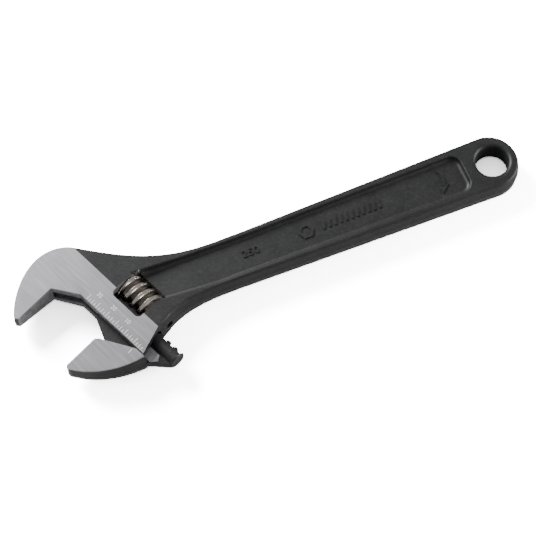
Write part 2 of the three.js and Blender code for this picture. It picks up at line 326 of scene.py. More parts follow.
def combine(target, tool, how):
    """Cuts the tool out of the target, or joins it on, and leaves one applied mesh."""
    cut = target.modifiers.new(how.lower(), "BOOLEAN")
    cut.operation = how
    cut.solver = "MANIFOLD"
    cut.object = tool
    mesh = applied_mesh(target)
    target.modifiers.remove(cut)
    target.data = mesh
    bpy.data.objects.remove(tool)
    print(f"{target.name} {how.lower()}: {len(mesh.polygons)} faces")


# %% [markdown]
# ## How thick the forging is
#
# The head is thickest along a ridge beside the worm. It thins out to the jaw tips in one ground
# plane, and falls to the handle's thickness the other way. The two slopes are one height function
# over the plan, so walls and caps that ask for the same point always agree.

# %% Height of the top face
HEAD_HALF = (cad_box[1][2] - cad_box[0][2]) / 2 / MM
HANDLE_HALF = 5.9
RIDGE = 6.6
JAW_REACH = 49.6
TIP_HALF = 4.3
NECK_FOOT = -28.0  # reach where the head's slope has fallen to the handle's thickness
JAW_SLOPE = (HEAD_HALF - TIP_HALF) / (JAW_REACH - RIDGE)
SOFTNESS = 0.02  # rounds the bend where the slope runs into the handle


def top_height(plan):
    """Half the thickness: a plane falling outwards past the ridge, and inwards a slope that fades into
    the handle by a soft ramp, (s + sqrt(s * s + softness)) / 2."""
    reach = reach_of(plan)
    ramp = (reach - NECK_FOOT) / (RIDGE - NECK_FOOT)
    soft = (ramp + np.sqrt(ramp * ramp + SOFTNESS)) / (1 + np.sqrt(1 + SOFTNESS))
    inner = HANDLE_HALF + (HEAD_HALF - HANDLE_HALF) * soft
    return np.where(reach > RIDGE, HEAD_HALF - JAW_SLOPE * (reach - RIDGE), inner)


for spot, reach in (("the ridge", RIDGE), ("the worm", 0.0), ("the jaw tips", JAW_REACH)):
    print("thickness at", spot, round(2 * float(top_height(head(reach, 0.0))), 2), "mm")

# %% [markdown]
# ## The outline of the forging
#
# Seen from above the forging is a tapered bar with a round tail, a neck that swells into the
# head, and a hooked jaw. Each stretch of the outline has its own draft and its own edge rounding.
# The forged stretches lean in and are rounded by the die. The jaw's faces and throat are milled,
# so they stand straight and are only broken by a small edge.

# %% The body's outline
TAIL_RADIUS = 14.6
HOLE_RADIUS = 7.85
TAIL_WALL = 5.15
FIXED_FACE = 31.9
CORNER = 7.5
THROAT = 20.6
FIXED_BACK = 9.2  # metal behind the fixed jaw's face at its root
END_SLIDE = 19.2
NECK_END, NECK_TOP, NECK_BOTTOM = 50.0, 12.5, -11.7
DRAFT = 0.9
FORGED_EDGE = 1.2
GROUND_EDGE = 0.28
MILLED_EDGE = 0.22


def body_stretches():
    """(points, draft, edge rounding at the start, and at the end) of each stretch, counter-clockwise."""
    tail = [HOLE_DISTANCE + HOLE_RADIUS + TAIL_WALL - TAIL_RADIUS, 0]
    neck_top, neck_bottom = np.array([[NECK_END, NECK_TOP], [NECK_END, NECK_BOTTOM]])
    root = head(RIDGE + 0.6, -FIXED_FACE - FIXED_BACK)
    tip = head(JAW_REACH + 0.9, -FIXED_FACE - 1.7)
    face_end = head(JAW_REACH - 0.3, -FIXED_FACE)
    corner = head(THROAT + CORNER, -FIXED_FACE)
    throat = head(THROAT, CORNER * 1.67 - FIXED_FACE)
    end_corner = head(THROAT, 23.9)
    shoulder, foot = head(RIDGE, END_SLIDE + 0.2), head(-0.7, END_SLIDE)
    back = [root, root + head(15.2, -16.9), tip + head(-4.7, -7.7), tip]
    upper = [neck_top, neck_top + [-36, -1.3], root + [23.5, -15], root]
    lower = [foot, neck_bottom + [-32, 0], neck_bottom + [-20, 0.6], neck_bottom]
    end = arc(tail, TAIL_RADIUS, -89, 89, 48)
    return [
        (end, DRAFT, FORGED_EDGE, FORGED_EDGE),
        (line(end[-1], neck_top), DRAFT, FORGED_EDGE, FORGED_EDGE),
        (bezier(upper, 70), DRAFT * 0.6, FORGED_EDGE, GROUND_EDGE),
        (bezier(back, 70), DRAFT * 0.5, GROUND_EDGE, GROUND_EDGE),
        (line(tip, face_end), DRAFT * 0.5, GROUND_EDGE, GROUND_EDGE),
        (line(face_end, corner), 0, MILLED_EDGE, MILLED_EDGE),
        (line(corner, throat), 0, MILLED_EDGE, MILLED_EDGE),
        (line(throat, end_corner), 0, MILLED_EDGE, MILLED_EDGE),
        (line(end_corner, shoulder), DRAFT * 0.5, GROUND_EDGE, GROUND_EDGE),
        (line(shoulder, foot, 1.5), DRAFT * 0.5, GROUND_EDGE, FORGED_EDGE),
        (bezier(lower, 60), DRAFT, FORGED_EDGE, FORGED_EDGE),
        (line(neck_bottom, end[0]), DRAFT, FORGED_EDGE, FORGED_EDGE),
    ]


def join_stretches(stretches):
    """One closed path from stretches that share their ends, with the draft and rounding of each edge."""
    path = np.concatenate([points[:-1] for points, *_ in stretches])
    draft = np.concatenate([np.full(len(points) - 1, lean, float) for points, lean, *_ in stretches])
    edge = np.concatenate([np.linspace(a, b, len(points) - 1) for points, _, a, b in stretches])
    return path, draft, edge


def outer_wall(path, draft, edge, height, arc_steps=6):
    """Upper half of a wall: a narrow land at the parting line, a straight lean of draft per HEAD_HALF,
    and a quarter circle of the edge's radius over into the top face."""
    land = 0.25
    edge_height = (height(path) + height(np.roll(path, -1, 0))) / 2
    rise = edge_height - edge
    straight = np.linspace(0, 1, 4)
    angle = np.radians(np.linspace(0, 90, arc_steps + 1))[1:]
    lean = draft[:, None] * (rise - land)[:, None] / HEAD_HALF
    inset = np.concatenate(
        [np.zeros((len(path), 1)), lean * straight, lean + edge[:, None] * (1 - np.cos(angle))], 1
    )
    ring = carry(path, inset, np.zeros_like(inset))[:, -1, :2]
    top, radius = height(ring), edge_means(edge)
    start = (top - radius)[:, None]
    rounding = start + radius[:, None] * np.sin(angle)
    level = np.concatenate([np.zeros((len(path), 1)), land + (start - land) * straight, rounding], 1)
    return carry(path, inset, level)


body_path, body_draft, body_edge = join_stretches(body_stretches())
body_wall = outer_wall(body_path, body_draft, body_edge, top_height)
print("outline points", len(body_path), "length", round(np.ptp(body_path[:, 0]), 1), "mm")

# %% [markdown]
# The ridge has to be an edge of the mesh, or the two slopes would blur into each other. The ring's
# two points nearest to the ridge are slid along the outline until they lie on it, and the
# triangulation then gets an edge between them.

# %% Snap the wall's columns onto the ridge
def snap_to_ridge(wall):
    """Slides the two columns nearest the ridge along their outline until the top ring lies on it."""
    ring = wall[:, -1, :2]
    off = np.abs(reach_of(ring) - RIDGE)
    far = np.where(slide_of(ring) < 0)[0]
    near = np.where(slide_of(ring) > 0)[0]
    found = [far[np.argmin(off[far])], near[np.argmin(off[near])]]
    for i in found:
        along = ring[(i + 1) % len(ring)] - ring[i - 1]
        wall[i, :, :2] += along * (RIDGE - reach_of(ring[i])) / reach_of(along)
        wall[i, -1, 2] = HEAD_HALF
    return wall, [wall[i, -1, :2] for i in found]


body_wall, ridge_ends = snap_to_ridge(body_wall)
print("ridge from", np.round(ridge_ends[0], 2), "to", np.round(ridge_ends[1], 2))

# %% [markdown]
# ## The sunk panel
#
# Both broad sides of the handle carry a long sunk panel that leaves two rails, as in an I-beam:
# nearly the same stiffness for less steel. The die leaves a fillet at the floor and a small round
# at the rail. The profile is a hollow arc, a steep straight and a round arc, and its straight part
# grows where the forging gets thicker towards the worm.

# %% Panel wall and floor
PANEL_FLOOR = 3.7
FILLET = 2.1
RAIL_ROUND = 0.8
STEEP = np.radians(76)
WINDOW_HALF = 9.35
WINDOW_INNER = 7.75
PANEL_END = HOLE_DISTANCE - 16.4


def polyline(points):
    """Straight stretches from each point to the next."""
    return [line(start, end) for start, end in zip(points, points[1:])]


def panel_path():
    """Outline of the panel's floor, clockwise, so that the material around it is on its left."""
    tail_half, neck_top, neck_bottom, corner = 8.1, 7.4, -6.6, 3.2
    bend, taper = 36, 52  # x where the rails have left the neck's curve, and where the taper begins
    centre, wall = PANEL_END - corner, -WINDOW_INNER + 1.2
    upper = [head(wall, -6.3), [bend, neck_top + 0.3], [taper, neck_top], [centre, tail_half]]
    lower = [[centre, -tail_half], [taper, neck_bottom], [bend, neck_bottom - 0.1], head(wall, 7.6), upper[0]]
    stretches = [
        *polyline(upper),
        arc([centre, tail_half - corner], corner, 90, 0, 12),
        line([PANEL_END, tail_half - corner], [PANEL_END, corner - tail_half]),
        arc([centre, corner - tail_half], corner, 0, -90, 12),
        *polyline(lower),
    ]
    return np.concatenate([points[:-1] for points in stretches])


def panel_wall(path, steps=6):
    """A hollow arc up to the steep angle, a straight stretch, and a round arc back down to level."""
    arcs = (FILLET + RAIL_ROUND) * (1 - np.cos(STEEP))
    hollow = STEEP * np.linspace(0, 1, steps + 1)
    over = STEEP * np.linspace(1, 0, steps + 1)

    def profile(top):
        straight = (top - PANEL_FLOOR - arcs)[:, None] / np.sin(STEEP)
        out = np.concatenate([
            np.broadcast_to(FILLET * np.sin(hollow), (len(top), steps + 1)),
            FILLET * np.sin(STEEP) + straight * np.cos(STEEP) + RAIL_ROUND * (np.sin(STEEP) - np.sin(over)),
        ], 1)
        up = np.concatenate([
            np.broadcast_to(PANEL_FLOOR + FILLET * (1 - np.cos(hollow)), (len(top), steps + 1)),
            top[:, None] - RAIL_ROUND * (1 - np.cos(over)),
        ], 1)
        return out, up

    inset, _ = profile((top_height(path) + top_height(np.roll(path, -1, 0))) / 2)
    ring = carry(path, inset, np.zeros_like(inset))[:, -1, :2]
    _, level = profile(top_height(ring))
    return carry(path, inset, level)


panel_ring = panel_wall(panel_path())
print("panel depth at the tail", round(HANDLE_HALF - PANEL_FLOOR, 2), "mm")

# %% [markdown]
# ## The hang hole
#
# The tail is pierced for a hook, and its rim is rounded over on both sides so that it doesn't cut
# the cord or the hand. It is the same kind of wall, carried clockwise round a circle.

# %% Hang hole wall
HOLE_ROUND = 2.1
HOLE_SIDES = 72


def hole_wall(steps=9):
    """Upper half of the hole: straight at its radius, then a quarter circle out into the top face."""
    circle = arc([HOLE_DISTANCE, 0], HOLE_RADIUS, 360, 0, HOLE_SIDES)[:-1]
    angle = np.radians(np.linspace(0, 90, steps + 1))
    inset = np.concatenate([[0], HOLE_ROUND * (1 - np.cos(angle))])
    start = HANDLE_HALF - HOLE_ROUND
    level = np.concatenate([[0], start + HOLE_ROUND * np.sin(angle)])
    grid = carry(circle, np.tile(inset, (HOLE_SIDES, 1)), np.tile(level, (HOLE_SIDES, 1)))
    grid[:, -1, 2] = top_height(grid[:, -1, :2])
    return grid


hole_ring = hole_wall()
print("hang hole", 2 * HOLE_RADIUS, "mm across, rounded by", HOLE_ROUND, "mm")

# %% [markdown]
# ## Closing the body
#
# Both faces are the same, so the upper half is built once and mirrored through the parting plane.
# The bend into the handle is curved, so its cap needs points of its own inside the outline.

# %% Assemble the blank of the body
def ring_distance(points, rings):
    """Smallest distance from each point to the ring points."""
    all_rings = np.concatenate(rings)
    return np.sqrt(((points[:, None] - all_rings) ** 2).sum(2)).min(1)


def soft_points(rings, spacing=2.2, clear=1.0, bend_end=-62):
    """Even points over the curved bend, which ends at a reach of bend_end, clear of every ring."""
    x, y = np.meshgrid(np.arange(-20, 66, spacing), np.arange(-30, 34, spacing))
    points = np.stack([x.ravel(), y.ravel()], 1)
    bend = (reach_of(points) < RIDGE - 2) & (reach_of(points) > bend_end)
    return points[bend & (ring_distance(points, rings) > clear)]


rings = [grid[:, -1, :2] for grid in (body_wall, panel_ring, hole_ring)]
outside = soft_points(rings)
outside = outside[inside(outside, rings[0]) & ~inside(outside, rings[1]) & ~inside(outside, rings[2])]
top_plan, top_triangles = cap(rings[0], rings[1:], [np.array(ridge_ends)], outside)
floor_plan, floor_triangles = cap(panel_ring[::-1, 0, :2])
upper_half = [
    (body_wall, grid_faces(*body_wall.shape[:2])),
    (panel_ring, grid_faces(*panel_ring.shape[:2])),
    (hole_ring, grid_faces(*hole_ring.shape[:2])),
    (np.column_stack([top_plan, top_height(top_plan)]), top_triangles),
    (np.column_stack([floor_plan, np.full(len(floor_plan), PANEL_FLOOR)]), floor_triangles),
]
lower_half = [mirrored(points, faces) for points, faces in upper_half]
body = solid("body_forging", upper_half + lower_half)

# %% [markdown]
# ## Machining the body
#
# After forging, the real head is milled and bored: a window for the worm, a slot for the web of
# the sliding jaw, a round bore for its shank, and a hole for the worm's pin. Cutting the blank
# with four plain cutters is how the real one is made, and gives the same crisp edges.

# %% Window, slot, bore and pin hole
SHANK_RADIUS = 4.45
SHANK_REACH = 10.3
CLEARANCE = 0.35
WEB_HALF = 2.5
SHANK_FRONT, SHANK_END = -6.5, 35.3
TRAVEL = -joints["jaw_slide"]["range_m"][0] / MM
BORE_END = SHANK_FRONT - TRAVEL - 0.8
PIN_RADIUS = 1.65
PIN_BURY = 7.0  # how far the pin enters the far wall
SMALL_CORNER, LARGE_CORNER = 1.1, 2.3  # the window's, beside the worm's thread and away from it
CUT_HALF = 20.0  # half height of a cutter that goes right through
FAR = 60.0

window = rounded(
    head([-WINDOW_INNER, SHANK_REACH, SHANK_REACH, -WINDOW_INNER],
         [-WINDOW_HALF, -WINDOW_HALF, WINDOW_HALF, WINDOW_HALF]),
    [SMALL_CORNER, LARGE_CORNER, LARGE_CORNER, SMALL_CORNER])
slot = head(
    [SHANK_REACH, SHANK_REACH, SHANK_REACH + 4.2, THROAT, THROAT + 1, THROAT + 7.8, FAR, FAR],
    [FAR, BORE_END, BORE_END, -42.8, -42.8, -30.7, -30.7, FAR])
bore_radius = SHANK_RADIUS + CLEARANCE
pin_start = -WINDOW_HALF - PIN_BURY - CLEARANCE
combine(body, solid("window_cutter", prism(window, -CUT_HALF, CUT_HALF)), "DIFFERENCE")
slot_half = WEB_HALF + CLEARANCE
combine(body, solid("slot_cutter", prism(slot, -slot_half, slot_half)), "DIFFERENCE")
for name, radius, reach, start in (
    ("bore_cutter", bore_radius, SHANK_REACH, BORE_END),
    ("pin_cutter", PIN_RADIUS + CLEARANCE, 0.0, pin_start),
):
    rod = turned([[0, FAR], [radius, FAR], [radius, start], [0, start]], reach, 64)
    combine(body, solid(name, [rod]), "DIFFERENCE")

# %% [markdown]
# ## The sliding jaw
#
# The sliding jaw is one forging with three jobs: a block that meets the nut, a thin web that runs
# through the body's slot, and a round shank with a rack of teeth that the worm drives. Each is a
# shape of its own, and a boolean union then makes them one skin, as they are on the real jaw.
# The block's back is forged with a parting line. Its face, shoulder and slope are milled square.

# %% The jaw's block, web and machined land
FACE = slide_of((np.array(mounts["movable_jaw_face"]["pos_m"]) - WORM)[:2]) / MM
SHOULDER = THROAT + CLEARANCE
SLOPE_END = SHOULDER + CORNER * 1.15
HEEL = 26.9  # slide where the jaw's back runs out into the web
JAW_DRAFT = DRAFT * 2.4


def block(path, draft, edge, height):
    """A closed block, the same above and below the mid-plane: its wall, and a cap on the wall's ring."""
    wall = outer_wall(path, draft, edge, height)
    plan, triangles = cap(wall[:, -1, :2])
    half = [(wall, grid_faces(*wall.shape[:2])), (np.column_stack([plan, height(plan)]), triangles)]
    return half + [mirrored(points, faces) for points, faces in half]


back_end = head(SHOULDER, HEEL)
back_start = head(JAW_REACH, FACE + 4.4)
jaw_back = bezier([back_start, back_start + head(-6.6, 11.2), back_end + head(10.15, -2.7), back_end], 60)
milled_corners = [
    back_end, head(SHOULDER, FACE + 18), head(SLOPE_END, FACE + 1.4), head(SLOPE_END + 1.3, FACE),
    head(JAW_REACH - 0.9, FACE), head(JAW_REACH, FACE + 0.9), back_start]
edges = [MILLED_EDGE] * 6 + [GROUND_EDGE]
jaw_path, jaw_draft, jaw_edge = join_stretches(
    [(cut, 0, first, last) for cut, first, last in zip(polyline(milled_corners), edges, edges[1:])]
    + [(jaw_back, JAW_DRAFT, GROUND_EDGE, GROUND_EDGE)])
jaw = solid("jaw_forging", block(jaw_path, jaw_draft, jaw_edge, top_height))

web_corners = head(
    [SHANK_REACH, 14.2, THROAT, THROAT + 0.9, THROAT + 7, THROAT + 4, THROAT, 14.2, SHANK_REACH],
    [SHANK_FRONT, SHANK_FRONT, -9, -9, FACE + 3, 23.8, 27.6, SHANK_END - 0.3, SHANK_END - 0.3])
land_corners = head([14.7, THROAT - 0.3, THROAT - 0.3, 17.5, 14.7], [-6, -8, 27.4, 29.6, 28.0])
for name, corners, half, edge in (("web", web_corners, 2.25, 0.3), ("land", land_corners, WEB_HALF, 0.12)):
    straight, edges = np.zeros(len(corners)), np.full(len(corners), edge)
    combine(jaw, solid(name, block(corners, straight, edges, even(half))), "UNION")

# %% [markdown]
# The shank is a cylinder with a slanted groove milled across it at every pitch. Around the shank
# and along it are the two directions of the grid. The grid's lines are slanted with the grooves,
# so that each groove's edges fall on grid lines and stay clean.

# %% The jaw's shank and rack
PITCH = 4.7
WORM_RADIUS = 7.4
THREAD_DEPTH = 2.1
FLANK = np.tan(np.radians(20))
GROOVE_HALF = 1.02
SLANT = PITCH / (2 * np.pi * (WORM_RADIUS - THREAD_DEPTH / 2))


def rack_shank(sides=96, per_pitch=36, chamfer=0.6):
    """Reach is that of the cylinder, SHANK_REACH + radius * cos a, or the groove's if that is deeper: a
    flat bottom, then flanks that fall towards the worm at 20 degrees. The ends shrink to a point."""
    angle = np.linspace(0, 2 * np.pi, sides, endpoint=False)[:, None]
    z = SHANK_RADIUS * np.sin(angle)
    count = int((SHANK_END - SHANK_FRONT + 2) / PITCH * per_pitch)
    along = np.arange(count)[::-1] * PITCH / per_pitch - 1.65 * PITCH
    slide = np.clip(along + SLANT * z, SHANK_FRONT + chamfer, SHANK_END - chamfer)
    near = slide - SLANT * z
    near = np.abs(near - PITCH * np.round(near / PITCH))
    groove = WORM_RADIUS + CLEARANCE - np.maximum(near - GROOVE_HALF, 0) / FLANK
    reach = np.maximum(SHANK_REACH + SHANK_RADIUS * np.cos(angle), groove)
    scale = np.concatenate([[0, 1 - chamfer / SHANK_RADIUS], np.ones(count), [1 - chamfer / SHANK_RADIUS, 0]])
    columns = np.concatenate([[0, 0], np.arange(count), [count - 1, count - 1]])
    slide = slide[:, columns]
    slide[:, :2], slide[:, -2:] = SHANK_END, SHANK_FRONT
    reach = SHANK_REACH + (reach[:, columns] - SHANK_REACH) * scale
    return np.concatenate([head(reach, slide), (z * scale)[..., None]], 2), grid_faces(sides, len(scale))


combine(jaw, solid("shank", [rack_shank()]), "UNION")

# %% [markdown]
# ## The worm
#
# The worm is turned from bar and its thread is cut left-handed, so that it drives the jaw shut the
# usual way. A thread is easy as a surface: the radius at a point depends only on how far it lies
# from the helix, along the axis. The grid is sheared with the helix. Columns that would run past
# an end are held at it and then merge, which trims the thread to a flat face, as parting off does.

# %% Worm
WORM_HALF = WINDOW_HALF - 0.3
BORE = PIN_RADIUS + CLEARANCE
POCKET = 3.15
POCKET_DEPTH = 4.5


def worm_surface(sides=144, per_pitch=40):
    """Radius as a function of the distance along the axis from the nearest turn of the helix: a flat
    crest, a small round, a straight flank and a filleted root. The loop closes through the bore."""
    angle = np.linspace(0, 2 * np.pi, sides + 1)[:, None]
    count = int((2 * WORM_HALF + 2 * PITCH) / PITCH * per_pitch)
    along = WORM_HALF + PITCH * 0.5 - np.arange(count) * PITCH / per_pitch
    advance = PITCH * angle / (2 * np.pi)
    slide = np.clip(along + advance - PITCH / 2, -WORM_HALF, WORM_HALF)
    turn = slide - advance
    turn = np.abs(turn - PITCH * np.round(turn / PITCH))
    steps = [0, 0.6, 0.72, 0.82, 1.38, 1.5, 1.68, PITCH]
    depths = [0, 0, 0.03, 0.14, 1.82, 2.02, THREAD_DEPTH, THREAD_DEPTH]
    radius = WORM_RADIUS - np.interp(turn, steps, depths)
    radius = np.minimum(radius, WORM_RADIUS + WORM_HALF - 0.45 - np.abs(slide))
    one = np.ones_like(angle)
    inner_radius = [POCKET, POCKET, BORE, BORE]
    inner_slide = [-WORM_HALF, POCKET_DEPTH - WORM_HALF, POCKET_DEPTH - WORM_HALF, WORM_HALF]
    radius = np.concatenate([one * BORE, radius, one * inner_radius], 1)
    slide = np.concatenate([one * WORM_HALF, slide, one * inner_slide], 1)
    plan = head(radius * np.cos(angle), slide)
    grid = np.concatenate([plan, (radius * np.sin(angle))[..., None]], 2)
    return grid, grid_faces(sides + 1, radius.shape[1], closed=False)


worm = solid("worm_screw", [worm_surface()], weld=2e-6)

# %% [markdown]
# ## Pin and spring
#
# The pin is a plain turned rod with a screwdriver slot, and a short spring in the worm's end keeps
# the jaw from drifting. The spring is a circle carried along a helix. Its ends close to a point.

# %% Pin and spring
PIN_END = END_SLIDE - 1.5
WIRE = 0.35
COIL_RADIUS = 2.45
COIL_TURNS = 3


def spring_surface(turns=COIL_TURNS, per_turn=40, sides=12):
    """Helix centre plus the wire's radius along the coil's own radius and along the axis."""
    t = np.linspace(0, 1, turns * per_turn + 1)[:, None]
    angle = 2 * np.pi * turns * t
    round_wire = np.linspace(0, 2 * np.pi, sides, endpoint=False)
    wire = WIRE * np.where((t > 0) & (t < 1), 1, 0.0)
    start, end = WIRE - WINDOW_HALF + 0.3, POCKET_DEPTH - WORM_HALF - 0.3 - WIRE
    radius = COIL_RADIUS + wire * np.cos(round_wire)
    slide = start + (end - start) * t + wire * np.sin(round_wire)
    grid = np.concatenate([head(radius * np.cos(angle), slide), (radius * np.sin(angle))[..., None]], 2)
    return grid.transpose(1, 0, 2), grid_faces(sides, len(t))


pin = solid("pin_rod", [turned(
    [[0, PIN_END], [PIN_RADIUS - 0.25, PIN_END], [PIN_RADIUS, PIN_END - 0.25],
     [PIN_RADIUS, pin_start + 0.6], [PIN_RADIUS - 0.25, pin_start + 0.35], [0, pin_start + 0.35]])])
pin_slot = head([-3, 3, 3, -3], [PIN_END - 0.7, PIN_END - 0.7, PIN_END + 1, PIN_END + 1])
combine(pin, solid("slot_tool", prism(pin_slot, -0.3, 0.3)), "DIFFERENCE")
spring = solid("spring_coil", [spring_surface()])

# %% [markdown]
# ## Raised marks
#
# A forging's die leaves raised marks in the sunk panel. Here they are generic ones: the size in
# millimetres, the outline of a nut with a row of grip ribs, and an arrow for the turning direction.
# Letters come from a text curve, made into a mesh before it is laid in place.

# %% Marks in the panel
MARK_HEIGHT = 0.5
SINK = 0.1


def text_mesh(name, words, size, depth):
    """Points in millimetres, and faces, of a text curve filled and thickened by depth, centred."""
    curve = bpy.data.curves.new(name, "FONT")
    curve.body, curve.size, curve.extrude = words, size, depth / 2
    curve.align_x, curve.align_y = "CENTER", "CENTER"
    curve.resolution_u = 6
    made = new_object(name, curve)
    mesh = applied_mesh(made)
    bpy.data.objects.remove(made)
    return vectors(mesh.vertices, "co"), [tuple(face.vertices) for face in mesh.polygons]


HEXAGON = arc([0, 0], 1, 0, 360, 6)[:-1]
mark_low, mark_high = PANEL_FLOOR - SINK, PANEL_FLOOR + MARK_HEIGHT
size_points, size_faces = text_mesh("size_text", "250", 5.2, MARK_HEIGHT + SINK)
marks = [(size_points * [1.15, 1, 1] + [56, 0.9, (mark_low + mark_high) / 2], size_faces)]
nut = np.array([84.5, 0.8])
marks += prism(nut + 4.2 * HEXAGON, mark_low, mark_high, [nut + 2.6 * HEXAGON[::-1]])
for x in 92.5 + 2.9 * np.arange(11):
    marks += prism([[x, -1.4], [x + 1.3, -1.4], [x + 2.1, 3.0], [x + 0.8, 3.0]], mark_low, mark_high)
bow_centre = [149.3, 1.8]
bow = np.concatenate([arc(bow_centre, 7.6, -38, 38, 14), arc(bow_centre, 6.4, 38, -38, 14)])
arrow_tip = [[152.6, -3.0], [157.6, -2.2], [153.0, -6.2]]
for outline in (bow, arrow_tip):
    marks += prism(outline, mark_low, mark_high)
panel_marks = solid("panel_marks", marks)

# %% [markdown]
# ## The opening scale
#
# A row of fine lines is rolled into the ground cheek beside the throat, with numbers as on any
# rule, and one index line on the sliding jaw reads against it. Each line is a thin plate that
# follows the sloping cheek and stands only a few hundredths above it.

# %% Scale lines, numbers and index
LIFT = 0.03


def tick(slide, length, start=THROAT - 0.5, width=0.3):
    """A thin plate across the cheek's edge, from start inwards by length, from SINK below the sloping
    cheek to LIFT above it."""
    reaches = [start - length, start, start, start - length]
    outline = head(reaches, slide + width * np.array([-0.5, -0.5, 0.5, 0.5]))
    return slab(outline, lambda plan: top_height(plan) - SINK, lambda plan: top_height(plan) + LIFT)


FIRST_TICK, TICK_STEP, TICK_LENGTHS = -15.6, 1.6, (3.0, 1.5, 2.1, 1.5)
scale_surfaces = []
for number in range(24):
    scale_surfaces += tick(FIRST_TICK + TICK_STEP * number, TICK_LENGTHS[number % 4])
for words, slide in (("30", -12.4), ("20", -2.8), ("10", 6.8)):
    points, faces = text_mesh("scale_text", words, 3.0, LIFT + SINK)
    plan = head(14.6 - points[:, 1], slide + points[:, 0])
    level = top_height(plan) + (LIFT - SINK) / 2 + points[:, 2]
    scale_surfaces.append((np.column_stack([plan, level]), faces))
scale = solid("scale_marks", scale_surfaces)
index = solid("index_mark", tick(18.3, 2.6, SHOULDER + 4.2, 0.4))

# %% [markdown]
# # Finishes
#
# Every finish is a small network of nodes on the shader that Blender calls Principled. Patterns
# read Object coordinates, which are the frame's metres, so a grain's real size sets its scale:
# one over the grain in metres. Colours are written as sRGB hex and turned to linear by one rule.
# Map Range's inputs come in order: the value, the two ends that it comes from, and the two that it
# goes to, 0 and 1 if left out. Mix has its colours at inputs 6 and 7 and its result at output 2.

# %% Colour and node helpers
def linear(code):
    """sRGB hex to linear colour: c / 12.92 below 0.04045, else ((c + 0.055) / 1.055) to the power 2.4."""
    c = np.array([int(code[k:k + 2], 16) for k in (1, 3, 5)]) / 255
    return (*np.where(c <= 0.04045, c / 12.92, ((c + 0.055) / 1.055) ** 2.4), 1.0)


def node(tree, kind, inputs, output=0, **settings):
    """Adds a node with its settings and returns one output. Inputs are a dictionary by name or number, or
    a list in order. Each is given a value, a link, or the colour of a hex code."""
    made = tree.nodes.new("ShaderNode" + kind)
    for name, value in settings.items():
        setattr(made, name, value)
    for name, value in inputs.items() if isinstance(inputs, dict) else enumerate(inputs):
        if isinstance(value, bpy.types.NodeSocket):
            tree.links.new(value, made.inputs[name])
        else:
            made.inputs[name].default_value = linear(value) if isinstance(value, str) else value
    return made.outputs[output] if made.outputs else None


def new_material(name):
    """An empty material, its tree, and the Object coordinates that its patterns read."""
    material = bpy.data.materials.new(name)
    material.use_nodes = True
    material.node_tree.nodes.clear()
    return material, material.node_tree, node(material.node_tree, "TexCoord", {}, "Object")


def finish_material(material, tree, colour, roughness, normal, metallic):
    """Ends the tree with a Principled shader and prints how many nodes the finish took."""
    shader = node(tree, "BsdfPrincipled", {
        "Base Color": colour, "Roughness": roughness, "Normal": normal, "Metallic": metallic})
    node(tree, "OutputMaterial", {"Surface": shader})
    print("material", material.name, len(tree.nodes), "nodes")
    return material


PER_MM = 1 / MM  # a pattern's scale for a grain of one millimetre

# %% [markdown]
# ## Black oxide on forged steel
#
# The forging is shot-blasted and then blackened in a hot salt bath. The eye sees a near-black with
# a soft satin sheen, a fine sandy grain from the blasting, and slow cloudy patches where the bath
# took more or less. The grain is drawn at 0.9 mm, coarser than real blasting, so that it shows.

# %% Black oxide
def black_oxide():
    material, tree, place = new_material("black_oxide_forging")
    clouds = node(tree, "TexNoise", {"Vector": place, "Scale": PER_MM / 9, "Detail": 4.0, "Roughness": 0.55})
    grain = node(tree, "TexNoise", {"Vector": place, "Scale": PER_MM / 0.9, "Detail": 5.0, "Roughness": 0.7})
    pits = node(tree, "TexNoise", {"Vector": place, "Scale": PER_MM / 1.6, "Detail": 2.0, "Roughness": 0.5})
    tone = node(tree, "MapRange", [clouds, 0.3, 0.7])
    colour = node(tree, "Mix", {0: tone, 6: "#151516", 7: "#202021"}, 2, data_type="RGBA")
    flecks = node(tree, "MapRange", [grain, 0.52, 0.74, 0.0, 0.5])
    colour = node(tree, "Mix", {0: flecks, 6: colour, 7: "#434344"}, 2, data_type="RGBA")
    rough = node(tree, "MapRange", [grain, 0.25, 0.75, 0.4, 0.6])
    pitted = node(tree, "Bump", {"Height": pits, "Distance": 0.05 * MM, "Strength": 0.5})
    normal = node(tree, "Bump", {"Height": grain, "Distance": 0.05 * MM, "Strength": 0.9, "Normal": pitted})
    return finish_material(material, tree, colour, rough, normal, 0.25)


BLACK = black_oxide()

# %% [markdown]
# ## Ground steel
#
# The cheeks of both jaws are ground bare on a surface grinder, with the wheel running along the
# slide. That leaves fine straight scratches, and a light, even grey. Noise that is stretched along
# the slide draws them. The real scratches are hundredths of a millimetre apart, too fine to show,
# so they are drawn a quarter of a millimetre apart.
#
# Window, slot, throat and jaw faces are milled instead. The cutter leaves rougher marks across its
# feed, and oil and oxide settle in them, so those walls look darker and patchy.

# %% Ground and milled steel
def streaks(tree, place, length_mm, width_mm, detail):
    """Noise turned to the head and stretched: its grain is length_mm along the slide and width_mm
    across it."""
    angle = float(np.arctan2(SLIDE[1], SLIDE[0]))
    turned_place = node(tree, "Mapping", {"Vector": place, "Rotation": (0, 0, -angle)})
    scale = (PER_MM / length_mm, PER_MM / width_mm, PER_MM / width_mm)
    squeezed = node(tree, "Mapping", {"Vector": turned_place, "Scale": scale})
    return node(tree, "TexNoise", {"Vector": squeezed, "Scale": 1.0, "Detail": detail})


